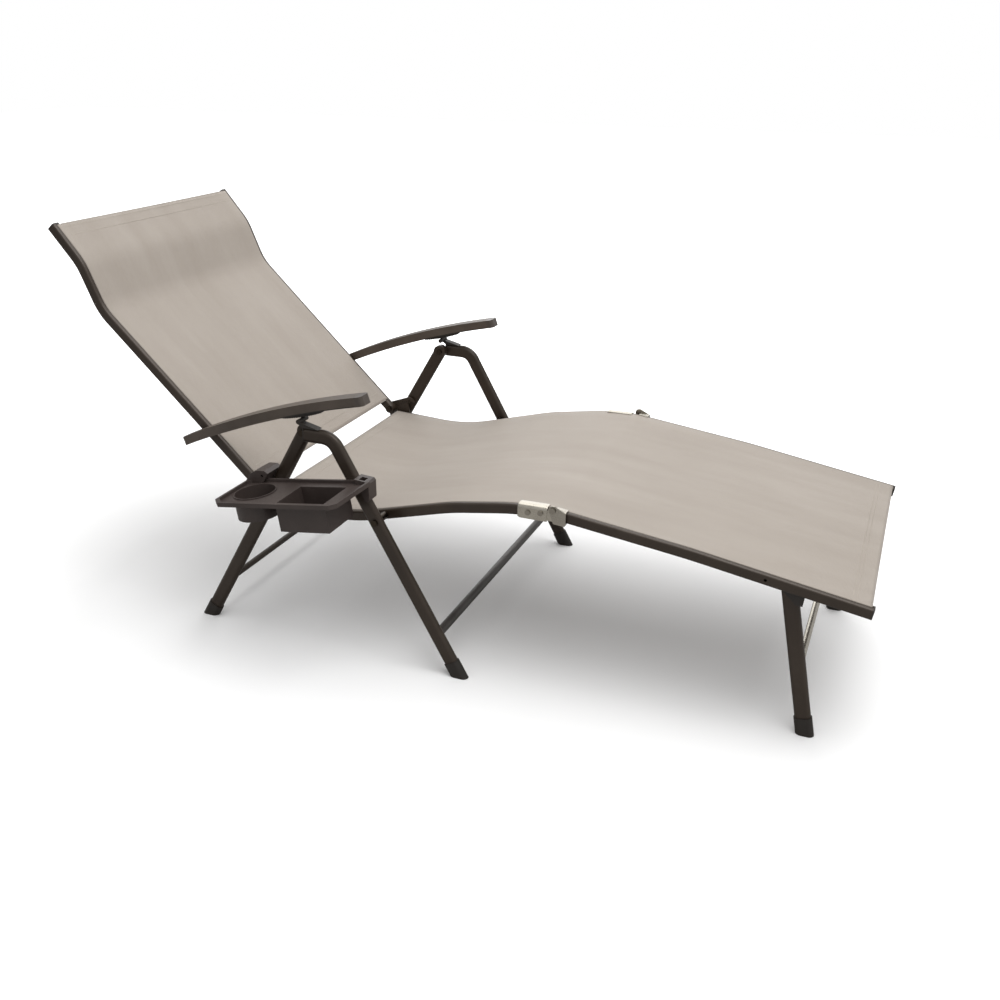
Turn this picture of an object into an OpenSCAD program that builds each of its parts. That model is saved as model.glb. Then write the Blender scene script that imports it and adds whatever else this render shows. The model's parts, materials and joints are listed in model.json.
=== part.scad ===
// Folding beach lounge chair: sling back, seat and leg rest on bent side rails,
// two pairs of crossed main legs, a pair of end legs, arching armrests and a clip-on tray.
// +X points to the sitter's feet, +Z up, the sitter's right side is -Y. Units are mm.

/* [Overall] */
// Distance between the two side rails, centre to centre
rail_span = 583; // [500:1:680]
// Straight lower part of the back rails
back_straight = 509; // [430:1:610]
// Seat length from the back pivot to the knee joint
seat_len = 661; // [600:1:740]
// Leg rest length from the knee joint to its far end
leg_len = 588; // [480:1:700]
// Height of the back pivot above the floor
pivot_h = 326; // [310:1:345]

/* [Angles] */
// Back angle above level
back_angle = 43.7; // [40:0.1:48]
// Headrest set forward, change of angle at the lower bend
head_bend = 23.9; // [10:0.1:30]
// Headrest set back again, change of angle at the upper bend
head_return = 17.8; // [5:0.1:25]
// End leg angle from upright
end_leg_lean = 11.6; // [6:0.1:16]

/* [Tubes] */
// Side rail height
rail_h = 22; // [20:0.5:26]
// Side rail width
rail_w = 20; // [18:0.5:22]
// Side rail wall
rail_t = 2; // [1.8:0.1:2.4]
// Leg tube depth, seen from the side
leg_d = 31; // [28:0.5:34]
// Leg tube width, seen from the front
leg_w = 17; // [15:0.5:18]
// Leg tube wall
leg_t = 1.5; // [1.2:0.1:2]
// Front leg cross bar radius
front_bar_r = 9.5; // [8:0.5:11]
// Rear leg cross bar radius
rear_bar_r = 7; // [6:0.5:9]
// End leg cross bar radius
end_bar_r = 7; // [6:0.5:9]
// Spreader bar radius, between the side rails
spreader_r = 8; // [7:0.5:9]

/* [Fits] */
// Radial play of each moving bolt in its hole
pin_gap = 0.05; // [0.01:0.01:0.1]
// Gap between the fabric's edge and the rails
sling_gap = 0.5; // [0.3:0.1:2]
// Gap between faces that turn past each other
side_gap = 0.4; // [0.3:0.1:0.8]
// Gap between the rack's teeth and the peg
rack_gap = 0.5; // [0.3:0.1:1]

/* [Small parts] */
// Pivot bolt radius
bolt_r = 4; // [3:0.5:5]
// Armrest width
arm_w = 36; // [30:1:40]
// Armrest thickness at its middle
arm_t = 20; // [18:0.5:21.5]
// Fabric thickness
sling_t = 2.4; // [1.5:0.1:3]
// Tray depth, sideways from the legs
tray_d = 138; // [110:1:160]
// Tray length
tray_l = 292; // [285:1:300]

/* [Hidden] */
$fn = 48;
rail_y = rail_span / 2;
rail_in = rail_y - rail_w / 2;
rail_out = rail_y + rail_w / 2;
back_y = rail_y - side_gap;
plate_t = 4;
rear_y = rail_out + plate_t + 4 + leg_w / 2;
front_y = rear_y + leg_w + 2;
arm_in = rail_out + 5.5;
arm_y = arm_in + arm_w / 2;
end_y = rail_in - 12 - leg_w / 2;
far = 1000;
lap = 0.5;
hair = 0.08;

// side profile, points are [x, z]
pivot = [156, pivot_h];
sf = seat_len / 661;
lf = leg_len / 588;
seat_path = [
  pivot + [16, -17],
  pivot + [209 * sf, -28],
  pivot + [444 * sf, 36],
  pivot + [584 * sf, 59],
  pivot + [seat_len, 60],
];
seat_r = [0, 420, 500, 500, 0];
// half the gap between the two rails at the knee, in step with their height
knee_half = rail_h * 3 / 88;
knee = seat_path[4] + [knee_half, 0];
leg_path = [knee + [knee_half, 0], knee + [262 * lf, -33], knee + [leg_len, -86]];
leg_r = [0, 1500, 0];
function dir(a) = [cos(a), sin(a)];
function heading(p, q) = atan2(q[1] - p[1], q[0] - p[0]);
function left_of(a) = [-sin(a), cos(a)];
back_h = 180 - back_angle;
head_h = back_h - head_bend;
top_h = head_h + head_return;
back_p1 = pivot + back_straight * dir(back_h);
back_p2 = back_p1 + 105 * dir(head_h);
back_p3 = back_p2 + 93 * dir(top_h);
back_path = [pivot, back_p1, back_p2, back_p3];
back_r = [0, 120, 120, 0];

// main legs
apex = [290, 161 + pivot_h];
corner = apex + [72, 0];
front_slope = 60.9;
seat_slope = heading(seat_path[1], seat_path[2]);
cross_a = tan(front_slope);
cross_b = tan(seat_slope);
cross_x = (corner[1] - seat_path[1][1] + cross_a * corner[0] + cross_b * seat_path[1][0])
  / (cross_a + cross_b);
cross = [cross_x, corner[1] - cross_a * (cross_x - corner[0])];
front_foot = [corner[0] + corner[1] / cross_a, 0];
rear_foot = [0, 0];
leg_lift = 8;
front_h = -front_slope;
rear_h = heading(apex, rear_foot);
tube_end = apex + [12, 0];
front_path = [tube_end, corner, front_foot - leg_lift * dir(front_h)];
front_r = [0, 36, 0];
front_bar = front_foot - 101 * dir(front_h);
rear_bar = rear_foot - 116 * dir(rear_h);
stud = rear_foot - (pivot_h + 19) / sin(-rear_h) * dir(rear_h);
stud_r = 5;

// end legs
rest_h = heading(leg_path[1], leg_path[2]);
end_on = leg_path[2] - 148 * dir(rest_h);
end_pivot = end_on - 9 * left_of(rest_h);
end_h = -90 + end_leg_lean;
end_len = end_pivot[1] / cos(end_leg_lean);
end_foot = end_pivot + end_len * dir(end_h);
end_bar = end_foot - 138 * dir(end_h);

// armrest, laid out along u from its pivot, with the peg it rests on
arm_on = 165;
arm_bolt_r = bolt_r - 1;
arm_pivot = pivot + arm_on * dir(back_h);
arm_h = 18.4;
arm_back = -55;
arm_front = 422;
arm_sag = 12.4;
peg_r = 5;
peg = apex + [1.1, 27];
arm_follow = 0.33;
tooth = 2;
steps = 18;
rack_down = -22;
rack_up = 16;
strip_t = 2.2;
function spin(v, a) = [v[0] * cos(a) - v[1] * sin(a), v[0] * sin(a) + v[1] * cos(a)];
function arm_at(f) = pivot - arm_pivot + spin(arm_pivot - pivot, -f);
function peg_in_arm(f) = spin(peg - arm_pivot - arm_at(f), arm_follow * f - arm_h);
function arch(u, s, m) = m + s * (1 - pow((u - 196.6) / 233, 2));
function arm_top(u) = arch(u, arm_sag + 2, 9.84);
function arm_bot(u) = arch(u, arm_sag + 21 - arm_t, -9.16);
n_arm = 24;
strip_from = 14;
strip_to = 23;
function along(i) = arm_back + (arm_front - arm_back) * i / n_arm;
function arm_under(u) = let(t = (u - arm_back) / (arm_front - arm_back) * n_arm, i = floor(t))
  arm_bot(along(i)) + (arm_bot(along(i + 1)) - arm_bot(along(i))) * (t - i);

// extent of the whole chair, for the origin under its middle
cap_t = 3;
head_tip = back_p3 + cap_t * dir(top_h) + rail_h / 2 * left_of(top_h);
toe_tip = leg_path[2] + cap_t * dir(rest_h) + rail_h / 2 * left_of(rest_h);
tray_gap = 1;
tray_in = front_y + leg_w / 2 + tray_gap;
mid_x = (head_tip[0] + toe_tip[0]) / 2;
head_h_out = 3.5;
mid_y = (front_y + leg_w / 2 + head_h_out - tray_in - tray_d) / 2;

// colours
bronze = [0.24, 0.20, 0.17];
black = [0.09, 0.085, 0.08];
taupe = [0.72, 0.67, 0.61];
zinc = [0.72, 0.70, 0.66];
umber = [0.22, 0.18, 0.16];

// ---- helpers ----

module place() {
  translate([-mid_x, -mid_y, 0])
    children();
}

// a bar across the chair, from y0 to y1, centred on the side-view point p
module across(p, r, y0, y1) {
  translate([p[0], y1, p[1]])
    rotate([90, 0, 0])
      cylinder(r = r, h = y1 - y0);
}

// a side-view shape given the thickness y0 to y1
module slab(y0, y1) {
  translate([0, y1, 0])
    rotate([90, 0, 0])
      linear_extrude(height = y1 - y0)
        children();
}

function tangent(path, radii, i) =
  (i <= 0 || i >= len(path) - 1) ? 0
  : radii[i] * tan(abs(heading(path[i], path[i + 1]) - heading(path[i - 1], path[i])) / 2);

// a section carried along a side-view path; its x is the path's right side. The first child is
// the bends' section and the second the straights', a hair thinner so that they lap into the bends
module sweep(path, radii) {
  n = len(path);
  for (i = [0 : n - 2]) {
    h = heading(path[i], path[i + 1]);
    a = path[i] + (tangent(path, radii, i) - (i > 0 ? lap : 0)) * dir(h);
    b = path[i + 1] - (tangent(path, radii, i + 1) - (i < n - 2 ? lap : 0)) * dir(h);
    translate([a[0], 0, a[1]])
      rotate([0, 90 - h, 0])
        linear_extrude(height = norm(b - a))
          children(1);
  }
  for (i = [1 : 1 : n - 2]) {
    h0 = heading(path[i - 1], path[i]);
    h1 = heading(path[i], path[i + 1]);
    side = h1 > h0 ? 1 : -1;
    a = path[i] - tangent(path, radii, i) * dir(h0);
    c = a + side * radii[i] * left_of(h0);
    translate([c[0], 0, c[1]])
      rotate([90, 0, 0])
        rotate([0, 0, side > 0 ? h0 - 90 : h1 + 90])
          rotate_extrude(angle = abs(h1 - h0))
            translate([radii[i], 0])
              scale_side(side)
                mirror([0, 1])
                  children(0);
  }
}

module scale_side(side) {
  if (side > 0) {
    children();
  } else {
    mirror([1, 0])
      children();
  }
}

module round_box(x, y, r) {
  square([x - 2 * r, y], center = true);
  square([x, y - 2 * r], center = true);
  for (i = [-1, 1]) {
    for (j = [-1, 1]) {
      translate([i * (x / 2 - r), j * (y / 2 - r)])
        circle(r = r);
    }
  }
}

// hollow side rail with a fabric groove along its top face; top is +1 or -1 along x
module rail_section(top, e) {
  difference() {
    round_box(rail_h - 2 * e, rail_w - 2 * e, 5 - e);
    round_box(rail_h - 2 * rail_t + 2 * e, rail_w - 2 * rail_t + 2 * e, 3 + e);
    translate([top * rail_h / 2, 0])
      square([2.2 + 2 * e, 2.4 + 2 * e], center = true);
  }
}

module oval(d, w) {
  square([d - w, w], center = true);
  for (i = [-1, 1]) {
    translate([i * (d - w) / 2, 0])
      circle(r = w / 2);
  }
}

module leg_section(e) {
  difference() {
    oval(leg_d - 2 * e, leg_w - 2 * e);
    oval(leg_d - 2 * leg_t + 2 * e, leg_w - 2 * leg_t + 2 * e);
  }
}

// a straight length from p to q, carrying a section
module straight(p, q) {
  h = heading(p, q);
  translate([p[0], 0, p[1]])
    rotate([0, 90 - h, 0])
      linear_extrude(height = norm(q - p))
        children();
}

module at_y(y) {
  translate([0, y, 0])
    children();
}

module hole(p, r) {
  across(p, r, -far, far);
}

module below_floor() {
  translate([-3 * far, -3 * far, -2 * far])
    cube([8 * far, 6 * far, 2 * far]);
}

module both_sides() {
  for (s = [-1, 1]) {
    scale_y(s)
      children();
  }
}

module scale_y(s) {
  if (s > 0) {
    children();
  } else {
    mirror([0, 1, 0])
      children();
  }
}

// ---- seat ----

plate_holes = [seat_path[0] + [6, 1], seat_path[0] + [24, 1]];

module seat_rail(s) {
  color(bronze)
    difference() {
      at_y(s * rail_y)
        sweep(seat_path, seat_r) {
          rail_section(-1, 0);
          rail_section(-1, hair);
        }
      hole(cross, bolt_r);
      for (p = plate_holes) {
        hole(p, 3);
      }
      for (p = knee_holes_seat) {
        hole(p, 3);
      }
    }
}

module seat_rail_right() {
  place()
    seat_rail(-1);
}

module seat_rail_left() {
  place()
    seat_rail(1);
}

rear_bar_at = seat_path[0] + [70, -6];
front_bar_at = seat_path[3] + [-10, -5];

module seat_rear_bar() {
  place()
    color(bronze)
      difference() {
        across(rear_bar_at, spreader_r, -rail_in, rail_in);
        across(rear_bar_at, spreader_r - 1.5, -far, far);
      }
}

module seat_front_bar() {
  place()
    color(bronze)
      difference() {
        across(front_bar_at, spreader_r, -rail_in, rail_in);
        across(front_bar_at, spreader_r - 1.5, -far, far);
      }
}

// flat strip under the rails' top edge; n is the distance from the rail centre
module strip(n, half, e) {
  translate([n, 0])
    square([sling_t - 2 * e, 2 * half - 2 * e], center = true);
}

sling_half = rail_in - sling_gap;
sling_n = rail_h / 2 - 1.6;

module seat_sling() {
  place()
    color(taupe)
      difference() {
        sweep(seat_path, seat_r) {
          strip(-sling_n, sling_half, 0);
          strip(-sling_n, sling_half, hair);
        }
        across(seat_path[4] + [0, sling_n], 3, -far, far);
      }
}

module seat_end_caps() {
  place()
    color(black)
      both_sides()
        at_y(rail_y)
          straight(seat_path[0] - cap_t * dir(heading(seat_path[0], seat_path[1])), seat_path[0])
            round_box(rail_h, rail_w, 5);
}

// the plate behind each rear leg, open below the stud so that the stud can drop out
module hook_shape() {
  difference() {
    union() {
      translate(pivot)
        circle(r = 14);
      translate(stud)
        circle(r = 13);
      polygon([
        pivot + [-14, 0], pivot + [-8, -28], [stud[0] + 2, pivot[1] - 28],
        stud + [13, 0], stud + [-5, 12], pivot + [-5, 13]
      ]);
    }
    translate(stud)
      circle(r = stud_r + pin_gap + 0.1);
    polygon([
      stud + [-stud_r - 0.15, 0], stud + [-2.2, -16], stud + [3, -60], stud + [60, -60],
      stud + [40, 0], stud + [stud_r + 0.15, 0]
    ]);
  }
}

module hook_plate(s) {
  color(bronze)
    difference() {
      slab(s > 0 ? rail_out : -rail_out - plate_t, s > 0 ? rail_out + plate_t : -rail_out)
        hook_shape();
      hole(pivot, bolt_r);
      for (p = plate_holes) {
        hole(p, 3);
      }
    }
}

module hook_plate_right() {
  place()
    hook_plate(-1);
}

module hook_plate_left() {
  place()
    hook_plate(1);
}

module plate_rivets() {
  place()
    color(zinc)
      both_sides()
        for (p = plate_holes) {
          across(p, 3, rail_in - 1, rail_out + plate_t);
          across(p, 5, rail_out + plate_t, rail_out + plate_t + 1.5);
          across(p, 5, rail_in - 2.5, rail_in - 1);
        }
}

module cross_bolts() {
  place()
    color(zinc)
      both_sides() {
        across(cross, bolt_r, rail_in - 1, front_y + leg_w / 2 + 1);
        across(cross, 7, front_y + leg_w / 2 + 0.3, front_y + leg_w / 2 + head_h_out);
        across(cross, 7, rail_in - 3.5, rail_in);
      }
}

module cross_spacers() {
  place()
    color(black)
      both_sides()
        difference() {
          across(cross, 8, rail_out, front_y - leg_w / 2 - 0.3);
          hole(cross, bolt_r);
        }
}

// knee joint: a plated cover on the seat rail and a collar on the leg rail, pinned at the top
knee_pin = knee + [0, rail_h / 2 + 1];
knee_t = 3;
knee_y = rail_out + knee_t;
knee_holes_seat = [knee + [-52, -2], knee + [-26, 1]];
knee_holes_leg = [knee + [14, -2]];

module knee_plate(s) {
  color(zinc)
    difference() {
      slab(s > 0 ? rail_out : -knee_y, s > 0 ? knee_y : -rail_out)
        union() {
          translate(knee_pin)
            circle(r = 9);
          polygon([
            knee + [-74, -14], knee + [-1, -13], knee_pin + [8, -4], knee_pin + [2, 8.7],
            knee + [-66, 10], knee + [-74, 6]
          ]);
        }
      hole(knee_pin, 3.5);
      for (p = knee_holes_seat) {
        hole(p, 3);
      }
      translate([knee[0] + 0.2, -far, knee[1] - 30])
        cube([40, 2 * far, 30 + rail_h / 2 - 9]);
    }
}

module knee_plate_right() {
  place()
    knee_plate(-1);
}

module knee_plate_left() {
  place()
    knee_plate(1);
}

module knee_rivets() {
  place()
    color(zinc)
      both_sides()
        for (p = knee_holes_seat) {
          across(p, 3, rail_in - 1, knee_y);
          across(p, 5.5, knee_y, knee_y + 2);
          across(p, 5, rail_in - 2.5, rail_in - 1);
        }
}

module knee_pins() {
  place()
    color(zinc)
      both_sides() {
        across(knee_pin, 3.5, rail_out, knee_y + 2 * knee_t + 0.6);
        across(knee_pin, 6, knee_y + knee_t + 0.6, knee_y + 2 * knee_t + 0.6);
      }
}

module back_pivot_pins() {
  place()
    color(zinc)
      both_sides() {
        across(pivot, bolt_r, rail_in - 3, rail_out + plate_t + 1);
        across(pivot, 7, rail_out + plate_t, rail_out + plate_t + 2.5);
        across(pivot, 7, rail_in - 5, rail_in - 1.2);
      }
}

// ---- back ----

module back_rail(s) {
  color(bronze)
    difference() {
      at_y(s * back_y)
        union() {
          difference() {
            sweep(back_path, back_r) {
              rail_section(1, 0);
              rail_section(1, hair);
            }
            across(pivot, rail_h / 2, -rail_w, rail_w);
          }
          across(pivot, rail_h / 2, -rail_w / 2, rail_w / 2);
        }
      hole(pivot, bolt_r + pin_gap);
      hole(arm_pivot, arm_bolt_r);
    }
}

module back_rail_right() {
  place()
    back_rail(-1);
}

module back_rail_left() {
  place()
    back_rail(1);
}

lower_bar_at = pivot + 34 * dir(back_h) + 2 * left_of(back_h);
upper_bar_at = back_p3 - 16 * dir(top_h) + 2 * left_of(top_h);
back_in = back_y - rail_w / 2;

module back_lower_bar() {
  place()
    color(bronze)
      difference() {
        across(lower_bar_at, spreader_r, -back_in, back_in);
        across(lower_bar_at, spreader_r - 1.5, -far, far);
      }
}

module back_upper_bar() {
  place()
    color(bronze)
      difference() {
        across(upper_bar_at, spreader_r, -back_in, back_in);
        across(upper_bar_at, spreader_r - 1.5, -far, far);
      }
}

module back_sling() {
  path = [pivot + 24 * dir(back_h), back_p1, back_p2, back_p3];
  place()
    color(taupe)
      sweep(path, back_r) {
        strip(sling_n, back_in - sling_gap, 0);
        strip(sling_n, back_in - sling_gap, hair);
      }
}

module back_end_caps() {
  place()
    color(black)
      both_sides()
        at_y(back_y)
          straight(back_p3, back_p3 + cap_t * dir(top_h))
            round_box(rail_h, rail_w, 5);
}

module arm_bolts() {
  place()
    color(zinc)
      both_sides() {
        across(arm_pivot, arm_bolt_r, back_in - 1, arm_in + 24);
        across(arm_pivot, 7, back_in - 3.5, back_in);
      }
}

module arm_spacers() {
  place()
    color(black)
      both_sides()
        difference() {
          across(arm_pivot, 8, back_y + rail_w / 2, arm_in - 0.3);
          hole(arm_pivot, arm_bolt_r);
        }
}

// ---- armrests ----

module arm_frame() {
  translate([arm_pivot[0], 0, arm_pivot[1]])
    rotate([0, -arm_h, 0])
      children();
}

function arm_low(i, lift) = [along(i), arm_bot(along(i)) + lift];

// the arch in side view, stepped up where the dark strip is let into its underside
module arm_side() {
  polygon(concat(
    [for (i = [0 : strip_from]) arm_low(i, 0)],
    [for (i = [strip_from : strip_to]) arm_low(i, strip_t)],
    [for (i = [strip_to : n_arm]) arm_low(i, 0)],
    [for (i = [n_arm : -1 : 0]) [along(i), arm_top(along(i))]]
  ));
}

module strip_side() {
  polygon(concat(
    [for (i = [strip_from : strip_to]) arm_low(i, 0)],
    [for (i = [strip_to : -1 : strip_from]) arm_low(i, strip_t)]
  ));
}

module arm_plan(from, to) {
  intersection() {
    union() {
      translate([arm_back + 11, arm_in + 11])
        circle(r = 11);
      polygon([
        [arm_back + 11, arm_in], [arm_front - 9, arm_in], [arm_front, arm_in + 9],
        [arm_front, arm_in + arm_w - 9], [arm_front - 9, arm_in + arm_w],
        [90, arm_in + arm_w], [30, arm_in + 29], [arm_back + 11, arm_in + 22]
      ]);
      for (y = [9, arm_w - 9]) {
        translate([arm_front - 9, arm_in + y])
          circle(r = 9);
      }
    }
    translate([from, 0])
      square([to - from, 2 * far]);
  }
}

module arm_body(from, to) {
  intersection() {
    arm_frame()
      slab(arm_in - 5, arm_in + arm_w + 5)
        children();
    arm_frame()
      translate([0, 0, -60])
        linear_extrude(height = 120)
          arm_plan(from, to);
  }
}

module armrest(s) {
  scale_y(s)
    color(bronze)
      difference() {
        arm_body(arm_back - 5, arm_front - 16)
          arm_side();
        across(arm_pivot, arm_bolt_r + pin_gap, arm_in - 5, arm_in + 26);
      }
}

module armrest_right() {
  place()
    armrest(-1);
}

module armrest_left() {
  place()
    armrest(1);
}

module arm_cap(s) {
  scale_y(s)
    color(black)
      arm_body(arm_front - 16, arm_front + 5)
        arm_side();
}

module arm_cap_right() {
  place()
    arm_cap(-1);
}

module arm_cap_left() {
  place()
    arm_cap(1);
}

// toothed strip under the armrest; its teeth keep clear of the peg's path as the back moves
function step_f(i) = rack_down + (rack_up - rack_down) * i / steps;
function tip(i) = peg_in_arm(step_f(i)) + [0, peg_r + rack_gap];
function root(i) = (tip(i) + tip(i + 1)) / 2 + [0, tooth];

module rack_side() {
  polygon(concat(
    [for (i = [steps : -1 : 0], k = [0, 1])
      k == 0 ? tip(i) : (i > 0 ? root(i - 1) : [tip(0)[0], arm_under(tip(0)[0])])],
    [for (i = [n_arm : -1 : 0]) if (along(i) < tip(0)[0] - 1 && along(i) > tip(steps)[0] + 1)
      [along(i), arm_bot(along(i))]],
    [[tip(steps)[0], arm_under(tip(steps)[0])]]
  ));
}

module rack(s) {
  scale_y(s)
    color(black) {
      arm_frame()
        slab(arm_y - 9, arm_y + 9)
          rack_side();
      arm_body(arm_back - 5, arm_front)
        strip_side();
    }
}

module rack_right() {
  place()
    rack(-1);
}

module rack_left() {
  place()
    rack(1);
}

// ---- leg rest ----

module leg_rail(s) {
  color(bronze)
    difference() {
      at_y(s * rail_y)
        sweep(leg_path, leg_r) {
          rail_section(-1, 0);
          rail_section(-1, hair);
        }
      for (p = knee_holes_leg) {
        hole(p, 3);
      }
      hole(end_on - 40 * dir(rest_h), 3);
    }
}

module leg_rail_right() {
  place()
    leg_rail(-1);
}

module leg_rail_left() {
  place()
    leg_rail(1);
}

rest_h0 = heading(leg_path[0], leg_path[1]);
leg_rear_at = leg_path[0] + 44 * dir(rest_h0) - 2 * left_of(rest_h0);
leg_end_at = leg_path[2] - 14 * dir(rest_h) - 2 * left_of(rest_h);

module leg_rear_bar() {
  place()
    color(bronze)
      difference() {
        across(leg_rear_at, spreader_r, -rail_in, rail_in);
        across(leg_rear_at, spreader_r - 1.5, -far, far);
      }
}

module leg_end_bar() {
  place()
    color(bronze)
      difference() {
        across(leg_end_at, spreader_r, -rail_in, rail_in);
        across(leg_end_at, spreader_r - 1.5, -far, far);
      }
}

module leg_sling() {
  place()
    color(taupe)
      difference() {
        sweep(leg_path, leg_r) {
          strip(-sling_n, sling_half, 0);
          strip(-sling_n, sling_half, hair);
        }
        across(leg_path[0] + [0, sling_n], 3, -far, far);
      }
}

module leg_end_caps() {
  place()
    color(black)
      both_sides()
        at_y(rail_y)
          straight(leg_path[2], leg_path[2] + cap_t * dir(rest_h))
            round_box(rail_h, rail_w, 5);
}

module knee_collar(s) {
  z0 = knee[1] - rail_h / 2 - 4.5;
  color(zinc)
    scale_y(s)
      difference() {
        union() {
          slab(knee_y + 0.3, knee_y + 0.3 + knee_t)
            union() {
              translate(knee_pin)
                circle(r = 9);
              polygon([
                knee_pin + [-8.8, -2], [knee[0] + 1.2, z0], [knee[0] + 24, z0 - 2],
                [knee[0] + 26, z0 + 1], [knee[0] + 26, knee_pin[1] - 3], knee_pin + [2, 8.7]
              ]);
            }
          slab(rail_in, knee_y + 1)
            polygon([
              [knee[0] + 1.2, z0], [knee[0] + 24, z0 - 2], [knee[0] + 25.5, z0 + 1.2],
              [knee[0] + 1.2, z0 + 3.6]
            ]);
        }
        across(knee_pin, 3.5 + pin_gap, 0, far);
      }
}

module knee_collar_right() {
  place()
    knee_collar(-1);
}

module knee_collar_left() {
  place()
    knee_collar(1);
}

// the block that holds each end leg's pivot, with a lug that stops the leg leaning further out
module end_mount(s) {
  lug = end_pivot + 34 * dir(end_h) + (leg_d / 2 + 4.3) * left_of(end_h);
  color(black)
    scale_y(s)
      difference() {
        union() {
          slab(end_y + leg_w / 2 + side_gap, rail_in)
            union() {
              translate(end_pivot)
                circle(r = 13);
              polygon([
                end_on - 26 * dir(rest_h) + 5 * left_of(rest_h),
                end_on + 32 * dir(rest_h) + 5 * left_of(rest_h),
                lug + [4, -5], lug + [-8, -5], end_pivot + [-12, -5]
              ]);
            }
          slab(end_y - leg_w / 2 + 2, end_y + leg_w / 2 + side_gap)
            translate(lug)
              circle(r = 4);
        }
        across(end_pivot, bolt_r, 0, far);
      }
}

module end_mount_right() {
  place()
    end_mount(-1);
}

module end_mount_left() {
  place()
    end_mount(1);
}

// ---- end legs ----

module end_leg(s) {
  color(bronze)
    at_y(s * end_y)
      difference() {
        union() {
          difference() {
            straight(end_pivot, end_foot - leg_lift * dir(end_h))
              leg_section(0);
            across(end_pivot, leg_d / 2, -far, far);
          }
          across(end_pivot, leg_d / 2, -leg_w / 2, leg_w / 2);
        }
        hole(end_pivot, bolt_r + pin_gap);
      }
}

module end_leg_right() {
  place()
    end_leg(-1);
}

module end_leg_left() {
  place()
    end_leg(1);
}

module end_leg_bar() {
  half = end_y - leg_w / 2;
  place()
    color(zinc)
      difference() {
        across(end_bar, end_bar_r, -half, half);
        across(end_bar, end_bar_r - 1.5, -far, far);
      }
}

// boots that close the bottom of the tubes and stand flat on the floor
module boot(foot, h, grip) {
  difference() {
    straight(foot - grip * dir(h), foot + 30 * dir(h))
      oval(leg_d + 4, leg_w + 4);
    straight(foot - far * dir(h), foot - leg_lift * dir(h))
      oval(leg_d, leg_w);
    below_floor();
  }
}

module end_feet() {
  place()
    color(black)
      both_sides()
        at_y(end_y)
          boot(end_foot, end_h, 38);
}

module end_bolts() {
  place()
    color(zinc)
      both_sides() {
        across(end_pivot, bolt_r, end_y - leg_w / 2 - 1, rail_in);
        across(end_pivot, 7, end_y - leg_w / 2 - 3.5, end_y - leg_w / 2 - 0.3);
      }
}

// ---- front legs ----

module front_leg(s) {
  color(bronze)
    difference() {
      union() {
        at_y(s * front_y)
          sweep(front_path, front_r) {
            leg_section(0);
            leg_section(hair);
          }
        scale_y(s)
          slab(tongue_y, tongue_y + tongue_t)
            tongue_side(0);
      }
      hole(cross, bolt_r + pin_gap);
      hole(apex, bolt_r);
    }
}

// flat tongue inside the bent end, with a round tip that the apex bolt goes through
tongue_y = front_y - leg_w / 2 + 1;
tongue_t = 4.5;

module tongue_side(gap) {
  translate(apex)
    circle(r = 9 + gap);
  translate(apex - [0, 9 + gap])
    square([tube_end[0] - apex[0] + 20, 18 + 2 * gap]);
}

module front_leg_right() {
  place()
    front_leg(-1);
}

module front_leg_left() {
  place()
    front_leg(1);
}

module front_leg_bar() {
  half = front_y - leg_w / 2;
  place()
    color(bronze)
      difference() {
        across(front_bar, front_bar_r, -half, half);
        across(front_bar, front_bar_r - 1.5, -far, far);
      }
}

module front_feet() {
  place()
    color(black)
      both_sides()
        at_y(front_y)
          boot(front_foot, front_h, 36);
}

// end cap of the bent front leg, with the hook and peg that carry the armrest
module peg_hook(s) {
  top = apex[1] + leg_d / 2;
  end = tube_end[0];
  color(black)
    scale_y(s)
      difference() {
        union() {
          at_y(front_y)
            straight([end - 3, apex[1]], [end, apex[1]])
              oval(leg_d, leg_w);
          slab(front_y - leg_w / 2, front_y + leg_w / 2)
            polygon([
              [end - 3, top - 6], [end, top - 6], [end, top], [end + 34, top],
              [end + 26, top + 2.5], peg + [5, -1.5], peg + [-5, -1.5], [end - 3, top + 0.5]
            ]);
          across(peg, peg_r, arm_y - 11, front_y + leg_w / 2);
        }
        slab(tongue_y - 0.1, tongue_y + tongue_t + 0.1)
          tongue_side(0.1);
      }
}

module peg_hook_right() {
  place()
    peg_hook(-1);
}

module peg_hook_left() {
  place()
    peg_hook(1);
}

module apex_bolts() {
  y0 = rear_y - leg_w / 2;
  y1 = tongue_y + tongue_t;
  place()
    color(zinc)
      both_sides() {
        across(apex, bolt_r, y0 - 1, y1 + 1);
        across(apex, 7, y1, y1 + 3);
        across(apex, 7, y0 - 3.3, y0 - 0.3);
      }
}

// ---- rear legs ----

module rear_leg(s) {
  color(bronze)
    difference() {
      at_y(s * rear_y)
        union() {
          difference() {
            straight(apex, rear_foot - leg_lift * dir(rear_h))
              leg_section(0);
            across(apex, leg_d / 2, -far, far);
          }
          across(apex, leg_d / 2, -leg_w / 2, leg_w / 2);
        }
      hole(apex, bolt_r + pin_gap);
      hole(stud, 3);
    }
}

module rear_leg_right() {
  place()
    rear_leg(-1);
}

module rear_leg_left() {
  place()
    rear_leg(1);
}

module rear_leg_bar() {
  half = rear_y - leg_w / 2;
  place()
    color(bronze)
      difference() {
        across(rear_bar, rear_bar_r, -half, half);
        across(rear_bar, rear_bar_r - 1.5, -far, far);
      }
}

module rear_feet() {
  place()
    color(black)
      both_sides()
        at_y(rear_y)
          boot(rear_foot, rear_h, 34);
}

module hook_studs() {
  place()
    color(zinc)
      both_sides() {
        across(stud, 3, rear_y - leg_w / 2 - 1, rear_y + leg_w / 2);
        across(stud, stud_r, rail_out + side_gap, rear_y - leg_w / 2);
      }
}

// ---- tray ----

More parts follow.
